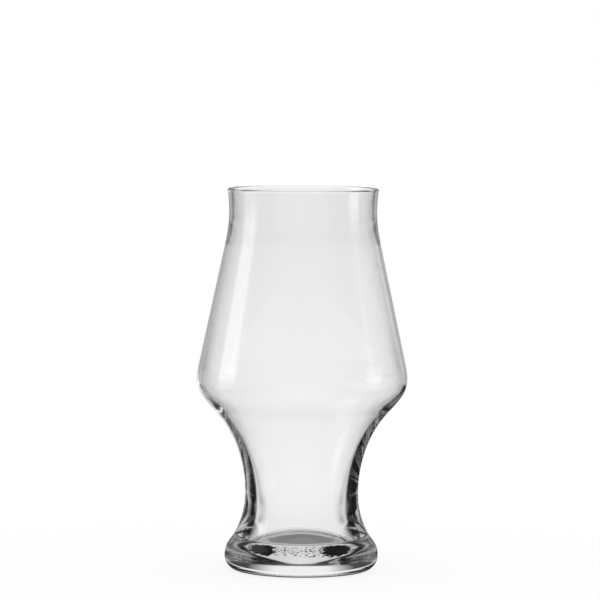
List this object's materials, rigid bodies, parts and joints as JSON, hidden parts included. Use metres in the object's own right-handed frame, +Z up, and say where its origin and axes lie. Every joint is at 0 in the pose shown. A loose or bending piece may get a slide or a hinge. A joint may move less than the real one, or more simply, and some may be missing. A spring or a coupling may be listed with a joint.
{
  "type": "tulip beer glass",
  "caption": "Clear tulip beer glass with a flared lip, a bowl that widens to a rounded shoulder, a narrow hollow waist and a heavy solid foot.",
  "frame": {"origin": "centre of the foot on the surface that the glass stands on", "axes": "+Z up along the axis of the glass, from the foot to the rim; X and Y are any two level directions, because the glass is round"},
  "size_m": [0.0958, 0.0958, 0.174],
  "materials": {
    "clear_glass": "clear and fire polished, with a frosted disc on the floor inside and an etched mark under the foot"
  },
  "bodies": {
    "root": {"bowl": "clear_glass", "stem": "clear_glass", "foot": "clear_glass"}
  },
  "joints": []
}
